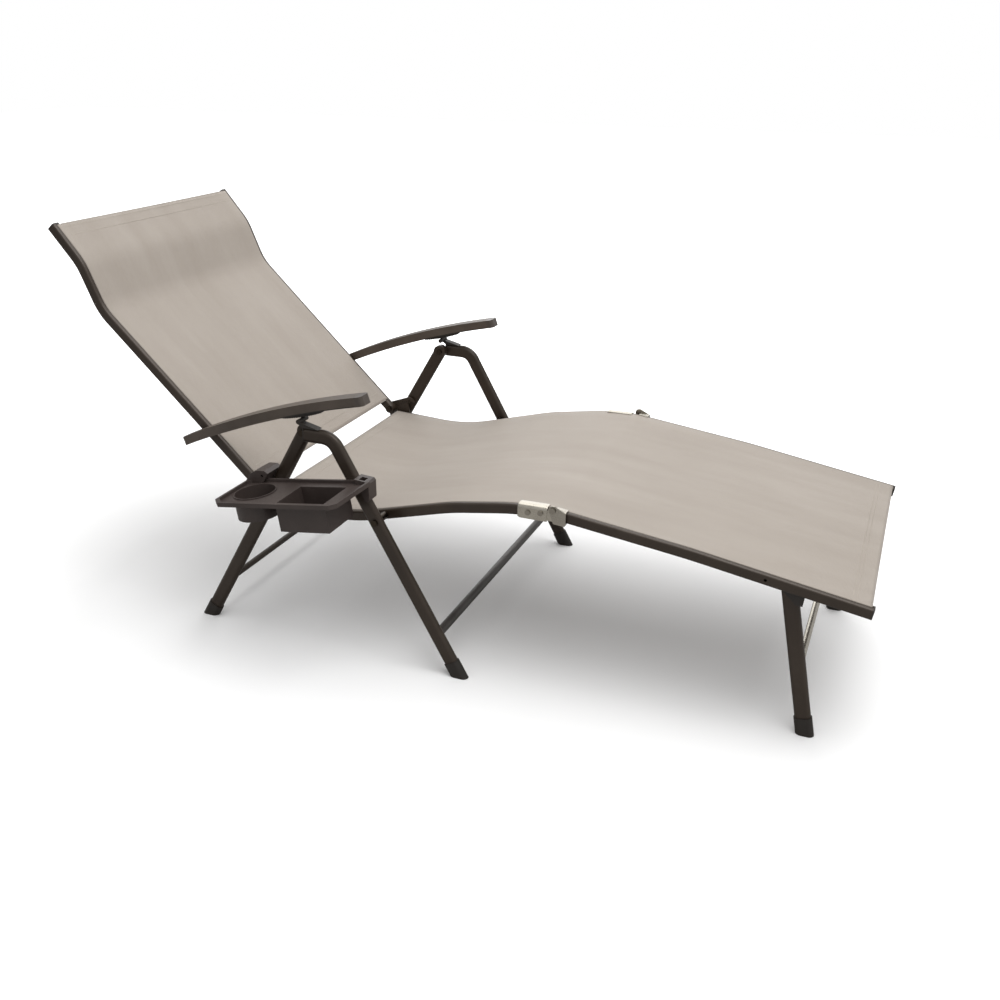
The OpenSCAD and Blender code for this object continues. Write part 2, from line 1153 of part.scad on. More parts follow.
tray_tilt = 8.4;
tray_at = [164, pivot_h + 48];
well_r = 44;
well = [56, -64];
pocket = [140, -tray_d + 20];
pocket_size = [112, 92];
tray_wall = 2.6;
rim_h = 9;

module tray_outline(inset) {
  polygon([
    [inset + 14, -inset], [tray_l - inset - 10, -inset], [tray_l - inset, -inset - 10],
    [tray_l - inset - 6, -tray_d + inset + 12], [tray_l - inset - 18, -tray_d + inset],
    [inset + 18, -tray_d + inset], [inset, -tray_d + inset + 18], [inset, -inset - 14]
  ]);
}

module tray_body() {
  difference() {
    union() {
      translate([0, 0, -rim_h])
        linear_extrude(height = rim_h)
          difference() {
            tray_outline(0);
            tray_outline(6);
          }
      translate([0, 0, -rim_h])
        linear_extrude(height = 3)
          tray_outline(3);
      translate([well[0], well[1], -54])
        cylinder(r = well_r, h = 50);
      translate([pocket[0], pocket[1], -66])
        cube([pocket_size[0], pocket_size[1], 58]);
    }
    translate([well[0], well[1], -54 + tray_wall])
      cylinder(r = well_r - tray_wall, h = 60);
    translate([pocket[0] + tray_wall, pocket[1] + tray_wall, -66 + tray_wall])
      cube([pocket_size[0] - 2 * tray_wall, pocket_size[1] - 2 * tray_wall, 80]);
  }
}

// hooks that wedge on the two sloping legs: one behind the rear leg, one before the front leg
hook_z = pivot_h + 60;
function rear_leg_x(z) = z / tan(180 + rear_h);
function front_leg_x(z) = front_foot[0] - z / tan(front_slope);
lean_r = leg_d / 2 / sin(180 + rear_h);
lean_f = leg_d / 2 / sin(front_slope);

clip_out = 13;
top_of_clip = [rear_leg_x(hook_z + 10) - lean_r - 15, hook_z + 3];

module tray_rear_clip() {
  foot_x = rear_leg_x(hook_z - 44) - lean_r - 0.5;
  top_x = rear_leg_x(hook_z + 10) - lean_r - 0.5;
  polygon([
    [foot_x, hook_z - 44], [top_x, hook_z + 10], [top_x - 8, hook_z + 15],
    [top_x - 28, hook_z + 13], [top_x - 46, hook_z + 2], [top_x - 56, hook_z - 16],
    [foot_x - 16, hook_z - 40]
  ]);
}

module tray_front_clip() {
  foot_x = front_leg_x(hook_z - 14) + lean_f + 0.5;
  top_x = front_leg_x(hook_z + 31) + lean_f + 0.5;
  polygon([
    [foot_x, hook_z - 14], [top_x, hook_z + 31], [top_x + 29, hook_z + 29],
    [top_x + 33, hook_z + 25], [top_x + 33, hook_z - 10], [top_x + 29, hook_z - 14]
  ]);
}

module tray() {
  slot_x = front_leg_x(hook_z + 31) + lean_f + 9;
  place()
    color(umber)
      difference() {
        union() {
          translate([tray_at[0], -tray_in, tray_at[1]])
            rotate([0, -tray_tilt, 0])
              tray_body();
          slab(-tray_in - clip_out, -rear_y + leg_w / 2)
            tray_rear_clip();
          slab(-tray_in - clip_out, -front_y + leg_w / 2)
            tray_front_clip();
        }
        translate([slot_x, -tray_in - 8, hook_z + 18])
          cube([13, tray_in - front_y + 6, 30]);
        across([top_of_clip[0], top_of_clip[1]], 3, -tray_in - far, -tray_in - clip_out + 6);
      }
}

// ---- drawing ----

seat_rail_right();
seat_rail_left();
seat_rear_bar();
seat_front_bar();
seat_sling();
seat_end_caps();
hook_plate_right();
hook_plate_left();
plate_rivets();
cross_bolts();
cross_spacers();
knee_plate_right();
knee_plate_left();
knee_rivets();
knee_pins();
back_pivot_pins();
back_rail_right();
back_rail_left();
back_lower_bar();
back_upper_bar();
back_sling();
back_end_caps();
arm_bolts();
arm_spacers();
armrest_right();
rack_right();
arm_cap_right();
armrest_left();
rack_left();
arm_cap_left();
leg_rail_right();
leg_rail_left();
leg_rear_bar();
leg_end_bar();
leg_sling();
leg_end_caps();
knee_collar_right();
knee_collar_left();
end_mount_right();
end_mount_left();
end_bolts();
end_leg_right();
end_leg_left();
end_leg_bar();
end_feet();
front_leg_right();
front_leg_left();
front_leg_bar();
front_feet();
peg_hook_right();
peg_hook_left();
apex_bolts();
rear_leg_right();
rear_leg_left();
rear_leg_bar();
rear_feet();
hook_studs();
tray();
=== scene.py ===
import json
import math

import bpy
import bmesh
from mathutils import Matrix, Vector, noise


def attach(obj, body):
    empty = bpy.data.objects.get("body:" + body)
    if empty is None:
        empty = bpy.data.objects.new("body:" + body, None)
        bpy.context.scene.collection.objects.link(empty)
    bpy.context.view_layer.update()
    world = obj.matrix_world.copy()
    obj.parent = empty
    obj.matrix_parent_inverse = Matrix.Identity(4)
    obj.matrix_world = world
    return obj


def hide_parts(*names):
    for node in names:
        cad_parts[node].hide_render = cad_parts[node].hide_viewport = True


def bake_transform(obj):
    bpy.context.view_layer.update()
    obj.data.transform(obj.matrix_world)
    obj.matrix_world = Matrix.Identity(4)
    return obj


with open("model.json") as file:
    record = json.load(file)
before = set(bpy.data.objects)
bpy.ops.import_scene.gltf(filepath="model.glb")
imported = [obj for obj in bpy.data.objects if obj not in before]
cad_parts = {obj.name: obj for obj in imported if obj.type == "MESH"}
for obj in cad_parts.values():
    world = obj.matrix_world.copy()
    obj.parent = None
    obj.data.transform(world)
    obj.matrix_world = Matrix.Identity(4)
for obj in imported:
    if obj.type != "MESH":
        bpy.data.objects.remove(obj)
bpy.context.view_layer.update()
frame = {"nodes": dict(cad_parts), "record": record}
NODES = frame["nodes"]
SLOT = {p["node"]: p["material_slot"] for p in frame["record"]["subparts"]}

# ---------------------------------------------------------------- side profile
# The chair from the side in mm, x forwards and z up, in its own design frame.
# SHIFT, in metres, puts a point of it in the row frame.
SHIFT = (0.544054, -0.06775)
# height of the side rails, and their inner and outer faces from the chair's middle
RAIL_H, RAIL_IN, RAIL_OUT = 22, 281.5, 301.5


def row(x, y, z):
    return Vector((x / 1000 - SHIFT[0], y / 1000 - SHIFT[1], z / 1000))


def unit(a):
    return Vector((math.cos(math.radians(a)), math.sin(math.radians(a))))


PIVOT = Vector((156, 326))
SEAT = [PIVOT + Vector(v) for v in ((16, -17), (209, -28), (444, 36), (584, 59), (661, 60))]
HALF_GAP = Vector((0.75, 0))
KNEE = SEAT[4] + HALF_GAP
LEG = [KNEE + Vector((262, -33)), KNEE + Vector((588, -86))]
BACK = [PIVOT]
for run, angle in ((509, 136.3), (105, 112.4), (93, 130.2)):
    BACK.append(BACK[-1] + run * unit(angle))


# ---------------------------------------------------------------- helpers
def trace(path, radii, step=4.0):
    """Points every few mm along a side-view path with rounded corners."""
    out = [path[0].copy()]
    for i in range(1, len(path) - 1):
        a, b, c = path[i - 1], path[i], path[i + 1]
        d0, d1 = (b - a).normalized(), (c - b).normalized()
        turn = math.atan2(d0.x * d1.y - d0.y * d1.x, d0.dot(d1))
        r = radii[i]
        t = r * math.tan(abs(turn) / 2)
        side = 1 if turn > 0 else -1
        start = b - d0 * t
        centre = start + side * r * Vector((-d0.y, d0.x))
        v = start - centre
        n = max(3, int(abs(turn) * r / step))
        for k in range(n + 1):
            ang = turn * k / n
            across = v.x * math.cos(ang) - v.y * math.sin(ang)
            along = v.x * math.sin(ang) + v.y * math.cos(ang)
            out.append(centre + Vector((across, along)))
    out.append(path[-1].copy())
    return out


def resample(points, step, lo, hi):
    """Even spacing along a polyline from lo mm after its start to hi mm before its end.

    Gives a list of (length so far, point, up normal).
    """
    s = [0.0]
    for a, b in zip(points, points[1:]):
        s.append(s[-1] + (b - a).length)
    total = s[-1]
    n = max(2, round((total - lo - hi) / step))
    at = []
    j = 0
    for k in range(n + 1):
        want = lo + (total - lo - hi) * k / n
        while j < len(s) - 2 and s[j + 1] < want:
            j += 1
        f = (want - s[j]) / max(1e-9, s[j + 1] - s[j])
        at.append((want, points[j].lerp(points[j + 1], f)))
    done = []
    for k, (want, p) in enumerate(at):
        d = (at[min(n, k + 1)][1] - at[max(0, k - 1)][1]).normalized()
        done.append((want, p, Vector((-d.y, d.x))))
    return done


def spread(a, b, n=30):
    return [a + (b - a) * k / n for k in range(n + 1)]


def add(name, bm, material, smooth=True):
    """Turn a bmesh into an object with one material."""
    mesh = bpy.data.meshes.new(name)
    bm.to_mesh(mesh)
    bm.free()
    mesh.materials.append(material)
    ob = bpy.data.objects.new(name, mesh)
    bpy.context.scene.collection.objects.link(ob)
    if smooth:
        mesh.polygons.foreach_set("use_smooth", [True] * len(mesh.polygons))
    return ob


def thicken(ob, name, thickness):
    """Give a sheet its thickness, half to each side."""
    solid = ob.modifiers.new(name, "SOLIDIFY")
    solid.thickness, solid.offset = thickness, 0.0


def bevel(ob, width, segments, angle):
    b = ob.modifiers.new("edges", "BEVEL")
    b.width, b.segments, b.limit_method = width, segments, "ANGLE"
    b.angle_limit = math.radians(angle)
    return b


def round_edges(ob, width, segments):
    """Weld a CAD mesh, round its edges and even out its shading."""
    weld = ob.modifiers.new("join", "WELD")
    weld.merge_threshold = 0.00002
    b = bevel(ob, width, segments, 35)
    b.use_clamp_overlap = True
    b.harden_normals = False
    shade = ob.modifiers.new("shade", "WEIGHTED_NORMAL")
    shade.keep_sharp = False
    shade.weight = 80


# ---------------------------------------------------------------- materials
class Nodes:
    """Small wrapper that builds a node material."""

    def __init__(self, name):
        self.mat = bpy.data.materials.new(name)
        self.mat.use_nodes = True
        self.tree = self.mat.node_tree
        self.bsdf = self.tree.nodes["Principled BSDF"]

    def new(self, kind, **values):
        n = self.tree.nodes.new(kind)
        for k, v in values.items():
            setattr(n, k, v)
        return n

    def link(self, a, b):
        self.tree.links.new(a, b)

    def drive(self, name, out):
        """Feed one of the shader's sockets from a node."""
        self.link(out, self.bsdf.inputs[name])

    def fix(self, **values):
        """Set the shader's own sockets; an underscore stands for a space."""
        for name, v in values.items():
            self.bsdf.inputs[name.replace("_", " ")].default_value = v

    def math(self, op, a, b=None):
        n = self.new("ShaderNodeMath", operation=op)
        for i, v in enumerate((a, b)):
            if v is None:
                continue
            if isinstance(v, (int, float)):
                n.inputs[i].default_value = v
            else:
                self.link(v, n.inputs[i])
        return n.outputs[0]

    def noise(self, scale, detail, rough, coords):
        n = self.new("ShaderNodeTexNoise")
        n.inputs["Scale"].default_value = scale
        n.inputs["Detail"].default_value = detail
        n.inputs["Roughness"].default_value = rough
        self.link(coords, n.inputs["Vector"])
        return n.outputs[0]

    def coords(self):
        return self.new("ShaderNodeTexCoord").outputs["Object"]

    def scaled(self, vector, by):
        n = self.new("ShaderNodeVectorMath", operation="MULTIPLY")
        self.link(vector, n.inputs[0])
        n.inputs[1].default_value = by
        return n.outputs[0]

    def ramp(self, fac, stops):
        n = self.new("ShaderNodeValToRGB")
        r = n.color_ramp
        while len(r.elements) < len(stops):
            r.elements.new(0.5)
        for e, (pos, col) in zip(r.elements, stops):
            e.position = pos
            e.color = (*col, 1)
        self.link(fac, n.inputs[0])
        return n.outputs[0]

    def range(self, fac, lo, hi, a, b):
        n = self.new("ShaderNodeMapRange")
        for i, v in zip((1, 2, 3, 4), (lo, hi, a, b)):
            n.inputs[i].default_value = v
        self.link(fac, n.inputs[0])
        return n.outputs[0]

    def bump(self, height, strength, distance):
        n = self.new("ShaderNodeBump")
        n.inputs["Strength"].default_value = strength
        n.inputs["Distance"].default_value = distance
        self.link(height, n.inputs["Height"])
        self.drive("Normal", n.outputs[0])

    def mix(self, fac, a, b):
        n = self.new("ShaderNodeMix", data_type="RGBA")
        self.link(fac, n.inputs[0])
        for i, v in ((6, a), (7, b)):
            if isinstance(v, tuple):
                n.inputs[i].default_value = (*v, 1)
            else:
                self.link(v, n.inputs[i])
        return n.outputs[2]


def times(col, by):
    return tuple(v * by for v in col)


def powder_coat(name, dark, mid, light, rough=0.42, metal=0.35):
    """Satin metallic powder coat: orange-peel skin, fine flake and a slow change of tone."""
    m = Nodes(name)
    c = m.coords()
    fine = m.noise(900, 2, 0.6, c)
    peel = m.noise(260, 2, 0.5, c)
    broad = m.noise(9, 4, 0.6, c)
    col = m.ramp(broad, [(0.3, dark), (0.55, mid), (0.8, light)])
    flake = m.range(fine, 0.62, 0.75, 0.0, 0.35)
    m.drive("Base Color", m.mix(flake, col, tuple(min(1, v) for v in times(light, 2.6))))
    m.drive("Roughness", m.range(broad, 0.3, 0.8, rough - 0.05, rough + 0.08))
    m.fix(Metallic=metal, Coat_Weight=0.15, Coat_Roughness=0.3)
    m.bump(m.math("ADD", peel, m.math("MULTIPLY", fine, 0.3)), 0.25, 0.0002)
    return m.mat


def plastic(name, dark, light, rough, grain=520, strength=0.35):
    """Moulded plastic: fine spark grain, slight mottling and uneven gloss."""
    m = Nodes(name)
    c = m.coords()
    g = m.noise(grain, 3, 0.65, c)
    broad = m.noise(16, 4, 0.55, c)
    m.drive("Base Color", m.ramp(broad, [(0.3, dark), (0.75, light)]))
    m.drive("Roughness", m.range(m.math("ADD", g, broad), 0.7, 1.3, rough - 0.07, rough + 0.08))
    m.fix(Specular_IOR_Level=0.45)
    m.bump(g, strength, 0.00018)
    return m.mat


def plated(name, tone):
    """Plated metal: brushed grain, cloudy tone and a little tarnish."""
    m = Nodes(name)
    c = m.coords()
    stretch = m.new("ShaderNodeMapping")
    stretch.inputs["Scale"].default_value = (40, 900, 900)
    m.link(c, stretch.inputs["Vector"])
    brushed = m.noise(1.0, 3, 0.6, stretch.outputs[0])
    cloud = m.noise(45, 4, 0.6, c)
    stops = [(0.25, times(tone, 0.9)), (0.55, tone), (0.85, times(tone, 1.1))]
    m.drive("Base Color", m.ramp(cloud, stops))
    m.fix(Metallic=1.0)
    m.drive("Roughness", m.range(m.math("ADD", brushed, cloud), 0.7, 1.3, 0.22, 0.34))
    m.bump(brushed, 0.06, 0.0001)
    return m.mat


def mesh_cloth(name, dark, mid, light, pitch=0.0022):
    """Coated-yarn mesh: plain weave of flat yarns in the sheet's own flat coordinates, with painted shade in
    the low gaps between the yarns.
    """
    m = Nodes(name)
    uv = m.new("ShaderNodeUVMap", uv_map="flat").outputs[0]
    sep = m.new("ShaderNodeSeparateXYZ")
    m.link(uv, sep.inputs[0])
    wave_u, wave_v = (m.math("SINE", m.math("MULTIPLY", sep.outputs[i], math.pi / pitch)) for i in (0, 1))
    warp, weft = m.math("ABSOLUTE", wave_u), m.math("ABSOLUTE", wave_v)
    # at each crossing the warp lies over the weft, or the weft over the warp
    warp_over = m.math("GREATER_THAN", m.math("MULTIPLY", wave_u, wave_v), 0.0)
    weft_over = m.math("SUBTRACT", 1.0, warp_over)
    crossing = m.math("ADD", m.math("MULTIPLY", warp, warp_over), m.math("MULTIPLY", weft, weft_over))
    gap = m.math("POWER", m.math("MULTIPLY", warp, weft), 0.5)
    height = m.math("ADD", m.math("MULTIPLY", crossing, 0.6), m.math("MULTIPLY", gap, 0.4))
    # streaks along the cloth, a tint for each yarn and a broad cloud
    streak = m.noise(1.0, 4, 0.6, m.scaled(uv, (14, 2.2, 1)))
    yarn = m.noise(1.0, 2, 0.5, m.scaled(uv, (450, 60, 1)))
    cloud = m.noise(3.2, 3, 0.5, m.coords())
    others = m.math("MULTIPLY", m.math("ADD", yarn, cloud), 0.275)
    tone = m.math("ADD", m.math("MULTIPLY", streak, 0.45), others)
    col = m.ramp(tone, [(0.38, dark), (0.5, mid), (0.62, light)])
    # painted shade: the colour darkens towards a dark brown where the weave is low, in the gaps between and
    # under the yarns
    shade = m.range(height, 0.1, 0.75, 0.42, 0.0)
    m.drive("Base Color", m.mix(shade, col, times(dark, 0.45)))
    m.drive("Roughness", m.range(yarn, 0.3, 0.7, 0.55, 0.72))
    m.fix(Sheen_Weight=0.12, Sheen_Roughness=0.5, Specular_IOR_Level=0.3)
    m.bump(height, 0.5, 0.0004)
    return m.mat


def thread(name):
    """Twisted sewing thread, a little lighter than the cloth."""
    m = Nodes(name)
    n = m.noise(2600, 2, 0.5, m.coords())
    m.drive("Base Color", m.ramp(n, [(0.35, (0.34, 0.30, 0.25)), (0.7, (0.55, 0.50, 0.43))]))
    m.fix(Roughness=0.7)
    m.bump(n, 0.4, 0.0002)
    return m.mat


BRONZE = powder_coat("bronze_coat", (0.029, 0.0190, 0.0120), (0.038, 0.0260, 0.0172), (0.050, 0.0365, 0.0262))
STEEL_GREY = powder_coat("grey_coat", (0.050, 0.045, 0.041), (0.075, 0.069, 0.064), (0.11, 0.10, 0.095),
                         0.36, 0.6)
BLACK = plastic("black_moulding", (0.016, 0.0125, 0.0100), (0.028, 0.0225, 0.0180), 0.54)
ARM = plastic("arm_moulding", (0.058, 0.044, 0.034), (0.088, 0.069, 0.055), 0.42, 380, 0.25)
ARM_END = plastic("arm_end_moulding", (0.050, 0.040, 0.033), (0.078, 0.063, 0.053), 0.36, 380, 0.25)
TRAY = plastic("tray_moulding", (0.036, 0.026, 0.023), (0.056, 0.042, 0.037), 0.46, 420, 0.3)
ZINC = plated("zinc_plate", (0.46, 0.43, 0.37))
# painted shade: the rivets and knee pins get a darker copy of the zinc, standing in for the shadow they sit
# in
RIVET_SHADED_ZINC = plated("rivet_zinc_painted_shade", (0.30, 0.275, 0.235))
BOLT = plated("dark_bolt", (0.050, 0.040, 0.031))
COLLAR = plated("collar_zinc", (0.36, 0.335, 0.29))
CLOTH = mesh_cloth("mesh_cloth", (0.305, 0.266, 0.228), (0.333, 0.293, 0.254), (0.361, 0.320, 0.281))
HEM = mesh_cloth("hem_cloth", (0.300, 0.270, 0.240), (0.325, 0.294, 0.264), (0.350, 0.319, 0.289))
THREAD = thread("thread")

# ---------------------------------------------------------------- carried-over CAD nodes
# the look of each of the record's material slots, and the nodes that differ from their slot
LOOK = {
    "frame": BRONZE, "plated": ZINC, "black_plastic": BLACK, "arm_plastic": ARM, "tray": TRAY, "sling": CLOTH,
}
OTHER_LOOK = {
    "front_leg_bar": STEEL_GREY,
    "apex_bolts": BOLT, "cross_bolts": BOLT, "arm_bolts": BOLT, "end_bolts": BOLT,
    "back_pivot_pins": BOLT, "hook_studs": BOLT, "cross_spacers": BOLT, "arm_spacers": BOLT,
    # painted shade: darker zinc on the rivets and pins
    "knee_rivets": RIVET_SHADED_ZINC, "knee_pins": RIVET_SHADED_ZINC,
    "knee_collar_right": COLLAR, "knee_collar_left": COLLAR,
    "arm_cap_right": ARM_END, "arm_cap_left": ARM_END,
}
# rounding in metres for nodes whose name has the word in it; the first match counts
EDGE = {
    "tray": 0.0012, "armrest": 0.0042, "rack": 0.0004, "arm_cap": 0.0042, "caps": 0.0026,
    "feet": 0.0022, "peg_hook": 0.0016, "mount": 0.0015, "knee": 0.0007, "plate": 0.0006,
    "rivets": 0.0012, "bolts": 0.0012, "studs": 0.0008, "pins": 0.0012, "bar": 0.0004,
}
FINE_EDGE = 0.0006
for name, ob in NODES.items():
    ob.data.materials.clear()
    ob.data.materials.append(OTHER_LOOK.get(name, LOOK[SLOT[name]]))
    ob.data.polygons.foreach_set("use_smooth", [True] * len(ob.data.polygons))
    if "sling" not in name:
        width = next((w for word, w in EDGE.items() if word in name), FINE_EDGE)
        round_edges(ob, width, 3 if width > 0.001 else 2)

# ---------------------------------------------------------------- slings
CLOTH_FACE = RAIL_H / 2 + 0.55    # height of the cloth on the rails, from the rails' middle line
SEAT_START, BACK_START = 3.0, 23.0    # where each cloth starts on its rails' path
CLOTH_STOP = 2.5                  # how far short of the path's end both stop
ROW_STEP = 7.0
DIP = 3.0                         # the cloth's sag between the rails at mid length
END_SHARE = 0.45
END_DIP = DIP * END_SHARE         # and at its ends
SEAM_SPREAD = 2                   # a hem's dip is worked out this much wider than the hem
CALM_EDGE = 60                    # the cloth is pulled smooth this close to the rails
HEM_ROWS, HEM_COLUMNS = 9, 44
HEM_BELOW = 1.5                   # how far under the cloth a flat hem lies
FOLD_OUT = 1.15                   # how far its fold stands past the cloth's edge
CLOTH_THICK, HEM_THICK = 0.0009, 0.0008


def dipped(y, inn):
    """Share of the full sag at y, from 0 at the rails to 1 in the middle."""
    inside = 1 - abs(y) / inn
    return (1 - (1 - inside) ** 2) ** 1.5


def half_section(rail, inn):
    """Half of the cloth's cross-section, from the groove in the rail's top to the middle: (y, n)."""
    flat = CLOTH_FACE
    pts = [(rail, flat - 1.55), (rail - 0.05, flat - 0.75), (rail - 0.45, flat - 0.2),
           (rail - 1.3, flat), (rail - 5, flat), (inn, flat)]
    n = 26
    for k in range(1, n + 1):
        y = inn * (1 - k / n) ** 1.12
        pts.append((y, flat - dipped(y, inn)))
    return pts


def sling(name, samples, inn, front, seed):
    """A cloth sheet swept along the rails, on the up normal's side (front 1) or the other one (-1).

    Gives the sheet, its flat size in metres and its flat area in square metres.
    """
    half = half_section(inn + 10, inn)
    cross = [(-y, n) for y, n in half] + [(y, n) for y, n in reversed(half[:-1])]
    wide = [0.0]
    for a, b in zip(cross, cross[1:]):
        wide.append(wide[-1] + math.hypot(b[0] - a[0], b[1] - a[1]))
    total = samples[-1][0] - samples[0][0]
    # unevenness: height in mm, size across and along the cloth, and the slice of the noise
    waves = ((0.35, 150, 170, 0.3 + seed), (0.10, 34, 50, 4.1))
    bm = bmesh.new()
    uv = bm.loops.layers.uv.new("flat")
    grid = []
    for s, p, up in samples:
        f = (s - samples[0][0]) / total
        ends = math.sin(math.pi * min(1, max(0, f))) ** 0.5
        line = []
        for y, n in cross:
            if abs(y) < inn:
                n = CLOTH_FACE - (CLOTH_FACE - n) * DIP * (END_SHARE + (1 - END_SHARE) * ends)
                calm = min(1, (inn - abs(y)) / CALM_EDGE)
                for high, across, along, layer in waves:
                    n += calm * high * noise.noise(Vector((y / across, s / along + seed, layer)))
            q = p + up * n * front
            line.append(bm.verts.new(row(q.x, y, q.y)))
        grid.append(line)
    for i in range(len(grid) - 1):
        for j in range(len(cross) - 1):
            at = ((i, j), (i + 1, j), (i + 1, j + 1), (i, j + 1))
            if front > 0:
                at = at[::-1]
            face = bm.faces.new([grid[ii][jj] for ii, jj in at])
            for loop, (ii, jj) in zip(face.loops, at):
                loop[uv].uv = (wide[jj] / 1000, samples[ii][0] / 1000)
    bmesh.ops.recalc_face_normals(bm, faces=bm.faces)
    ob = add(name, bm, CLOTH)
    thicken(ob, "cloth", CLOTH_THICK)
    return ob, (wide[-1] / 1000, total / 1000), total * wide[-1] / 1e6


# section of the sleeve round the foot-end bar, as (forwards, up) from the cloth's edge
SLEEVE = [
    (-31, -1.2), (-29.5, -2.6), (-26.5, -8.5), (-23.6, -15), (-21, -19.5), (-18, -22.3), (-14, -23.3),
    (-10, -22.2), (-7, -19.2), (-4.6, -15.2), (-2.4, -11), (-0.9, -7.2), (-0.1, -4.6), (0.1, -3.2),
    (-0.1, -1.9), (-0.7, -0.8), (-1.7, -0.1), (-3.0, 0.35),
]


def hem(name, samples, inn, front, end, sleeve):
    """The folded-under band at a sheet's end: a flat fold, or a sleeve round the bar."""
    pts = samples[-HEM_ROWS:] if end > 0 else samples[:HEM_ROWS][::-1]
    p, up = pts[-1][1], pts[-1][2]
    ahead = (p - pts[-2][1]).normalized()
    if sleeve:
        prof = [(p + ahead * along, up, n) for along, n in SLEEVE]
    else:
        prof = [(q, q_up, -HEM_BELOW) for _, q, q_up in pts]
        for k in range(1, 6):
            a = math.radians(-90 + 36 * k)
            prof.append((p + ahead * FOLD_OUT * math.cos(a), up, math.sin(a) - HEM_BELOW / 2))
    ys = [inn * (2 * k / HEM_COLUMNS - 1) for k in range(HEM_COLUMNS + 1)]
    bm = bmesh.new()
    uv = bm.loops.layers.uv.new("flat")
    grid = []
    for q, q_up, n in prof:
        line = []
        for y in ys:
            dip = END_DIP * dipped(y, inn + SEAM_SPREAD)
            dip *= max(0.0, 1 + n / 12) if sleeve else 1
            v = q + q_up * (CLOTH_FACE + n - dip) * front
            line.append(bm.verts.new(row(v.x, y, v.y)))
        grid.append(line)
    for i in range(len(grid) - 1):
        for j in range(len(ys) - 1):
            at = ((i, j), (i, j + 1), (i + 1, j + 1), (i + 1, j))
            face = bm.faces.new([grid[ii][jj] for ii, jj in at])
            for loop, (ii, jj) in zip(face.loops, at):
                loop[uv].uv = (ys[jj] / 1000, ii * 0.0035)
    bmesh.ops.recalc_face_normals(bm, faces=bm.faces)
    ob = add(name, bm, HEM)
    thicken(ob, "cloth", HEM_THICK)
    return ob


STITCH_PITCH, STITCH_HALF, STITCH_SIDES = 4.4, 1.6, 6
# how far a row of stitches starts and stops short of the cloth's edges
STITCH_FROM, STITCH_TO = 6, 8
# a stitch's thickness along its length, as (place, radius)
STITCH_RINGS = ((-STITCH_HALF, 0.08), (-1.1, 0.42), (0.0, 0.5), (1.1, 0.42), (STITCH_HALF, 0.08))


def stitches(name, lines, inn, front):
    """Short raised stitches in rows across a hem; each line is (point, up normal)."""
    bm = bmesh.new()
    sides = [math.pi * 2 * k / STITCH_SIDES for k in range(STITCH_SIDES)]
    for p, up in lines:
        out = Vector((up.x * front, 0, up.y * front))
        along = Vector((out.z, 0, -out.x))
        y = -inn + STITCH_FROM
        while y < inn - STITCH_TO:
            mid = y + STITCH_HALF
            dip = END_DIP * dipped(mid, inn + SEAM_SPREAD)
            q = p + up * (CLOTH_FACE + 0.5 - dip) * front
            c = row(q.x, mid, q.y)
            rings = []
            for shift, r in STITCH_RINGS:
                rings.append([bm.verts.new(c + Vector((0, shift / 1000, 0))
                                           + (along * math.cos(a) + out * 0.7 * math.sin(a)) * r / 1000)
                              for a in sides])
            for a, b in zip(rings, rings[1:]):
                for k in range(STITCH_SIDES):
                    after = (k + 1) % STITCH_SIDES
                    bm.faces.new((a[k], a[after], b[after], b[k]))
            bm.faces.new(rings[0][::-1])
            bm.faces.new(rings[-1])
            y += STITCH_PITCH
    bmesh.ops.recalc_face_normals(bm, faces=bm.faces)
    return add(name, bm, THREAD)


def sample_near(samples, from_end, end):
    """The sample a distance in mm from one end of a cloth."""
    edge = samples[-1][0] if end > 0 else samples[0][0]
    return min(samples, key=lambda r: abs(abs(r[0] - edge) - from_end))


def trimmings(key, samples, inn, front, bodies):
    """The hem and the stitching at both ends of a cloth; bodies are those at its low and top end."""
    made = []
    for end, tag, body in zip((-1, 1), ("low", "top"), bodies):
        sleeve = body == "leg_rest"
        band = hem(f"{key}_hem_{tag}", samples, inn - 1.5, front, end, sleeve)
        rows = [sample_near(samples, d, end)[1:] for d in ((28.0, 33.0) if sleeve else (7.0, 28.0))]
        sewing = stitches(f"{key}_stitching_{tag}", rows, inn - 2, front)
        for piece in (band, sewing):
            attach(piece, body)
            made.append(piece)
    return made


# the two rails meet at the knee in one line, so the cloth runs straight over the joint
BACK_IN = RAIL_IN - 0.4
SEAT_BENDS = [0, 420, 500, 500, 0.1, 0.1, 1500, 0]    # bend radius at each point of the path
BACK_BENDS = [0, 120, 120, 0]
seat_rows = resample(trace(SEAT + [KNEE + HALF_GAP] + LEG, SEAT_BENDS), ROW_STEP, SEAT_START, CLOTH_STOP)
seat_cloth, seat_flat, seat_area = sling("seat_cloth", seat_rows, RAIL_IN, 1.0, 1.7)
back_rows = resample(trace(BACK, BACK_BENDS), ROW_STEP, BACK_START, CLOTH_STOP)
back_cloth, back_flat, back_area = sling("back_cloth", back_rows, BACK_IN, -1.0, 5.2)
seat_trim = trimmings("seat", seat_rows, RAIL_IN, 1.0, ("seat", "leg_rest"))
back_trim = trimmings("back", back_rows, BACK_IN, -1.0, ("back", "back"))

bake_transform(seat_cloth)
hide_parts("seat_sling", "leg_sling")
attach(back_cloth, "back")
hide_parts("back_sling")

# ---------------------------------------------------------------- plated knee covers
COVER_OUT = RAIL_OUT + 1.9     # the cover's, tongue's and tab's outer faces, from the chair's middle
TONGUE_OUT = RAIL_OUT + 1.4
TAB_OUT = RAIL_OUT + 4.2
COVER_TOP = RAIL_H / 2 + 2.2
TAB_LOW = 9.5
COVER_SPAN, TONGUE_SPAN, TAB_SPAN = (-73, -13), (-13, 7), (3.5, 26)    # along the rails, from the knee


def rise(x):
    """Height of the rails' line at x from the knee, against the knee's own height."""
    return x * 0.013 if x < 0 else -x * 0.125


